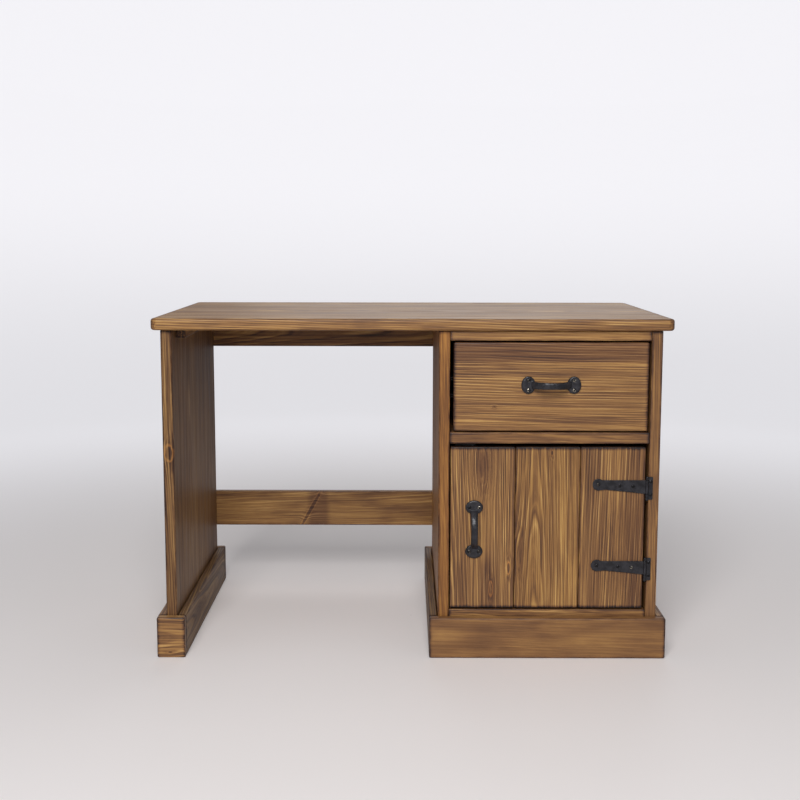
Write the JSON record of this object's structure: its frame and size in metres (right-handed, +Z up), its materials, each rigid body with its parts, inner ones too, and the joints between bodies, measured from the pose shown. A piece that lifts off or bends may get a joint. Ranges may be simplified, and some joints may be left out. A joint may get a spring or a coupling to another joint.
{
  "type": "writing desk",
  "caption": "Rustic stained pine writing desk: panel leg on one side, cabinet with a drawer over a plank door on the other, black iron pulls and strap hinges.",
  "frame": {"origin": "on the floor, under the centre of the box around the whole desk with its handles", "axes": "+X along the front towards the cabinet, +Y from the front to the wall side, +Z up; the drawer and door face -Y"},
  "size_m": [1.158, 0.672, 0.77],
  "materials": {
    "stained_pine": "brushed pine, walnut-brown stain, satin",
    "plain_pine": "bare planed pine",
    "fibreboard": "smooth brown fibreboard",
    "black_iron": "matt black, lightly hammered",
    "dark_zinc_steel": "black-passivated zinc plate"
  },
  "bodies": {
    "desk": {"desktop": "stained_pine", "left_panel": "stained_pine", "foot_front_board": "stained_pine", "foot_back_board": "stained_pine", "foot_outer_board": "stained_pine", "foot_inner_board": "stained_pine", "top_cleat": "stained_pine", "back_top_rail": "stained_pine", "back_stretcher": "stained_pine", "cabinet_side_left": "stained_pine", "cabinet_side_right": "stained_pine", "plinth_front": "stained_pine", "plinth_back": "stained_pine", "plinth_left": "stained_pine", "plinth_right": "stained_pine", "cabinet_front_rail": "stained_pine", "cabinet_back_rail": "stained_pine", "cabinet_divider": "stained_pine", "cabinet_floor": "stained_pine", "cabinet_back_panel": "fibreboard", "slide_left_outer": "dark_zinc_steel", "slide_right_outer": "dark_zinc_steel", "magnetic_catch": "dark_zinc_steel", "hinge_plate_upper": "black_iron", "hinge_pin_upper": "black_iron", "hinge_plate_lower": "black_iron", "hinge_pin_lower": "black_iron"},
    "drawer": {"drawer_front": "stained_pine", "drawer_side_left": "plain_pine", "drawer_side_right": "plain_pine", "drawer_back": "plain_pine", "drawer_bottom": "plain_pine", "slide_left_inner": "dark_zinc_steel", "slide_right_inner": "dark_zinc_steel", "drawer_handle": "black_iron", "drawer_handle_screw_1": "black_iron", "drawer_handle_screw_2": "black_iron", "drawer_handle_screw_3": "black_iron", "drawer_handle_screw_4": "black_iron"},
    "door": {"door_plank_1": "stained_pine", "door_plank_2": "stained_pine", "door_plank_3": "stained_pine", "door_ledge_upper": "stained_pine", "door_ledge_lower": "stained_pine", "hinge_strap_upper": "black_iron", "hinge_strap_lower": "black_iron", "door_handle": "black_iron", "door_handle_screw_1": "black_iron", "door_handle_screw_2": "black_iron", "door_handle_screw_3": "black_iron", "door_handle_screw_4": "black_iron", "hinge_upper_screw_1": "black_iron", "hinge_upper_screw_2": "black_iron", "hinge_upper_screw_3": "black_iron", "hinge_lower_screw_1": "black_iron", "hinge_lower_screw_2": "black_iron", "hinge_lower_screw_3": "black_iron", "catch_plate": "dark_zinc_steel"}
  },
  "joints": [
    {"name": "drawer_slide", "type": "slide", "parent": "desk", "child": "drawer", "axis": [0, -1, 0], "range_m": [0, 0.375]},
    {"name": "door_hinge", "type": "hinge", "parent": "desk", "child": "door", "pos_m": [0.5265, -0.3098, 0.29775], "axis": [0, 0, 1], "range_deg": [0, 170]}
  ]
}
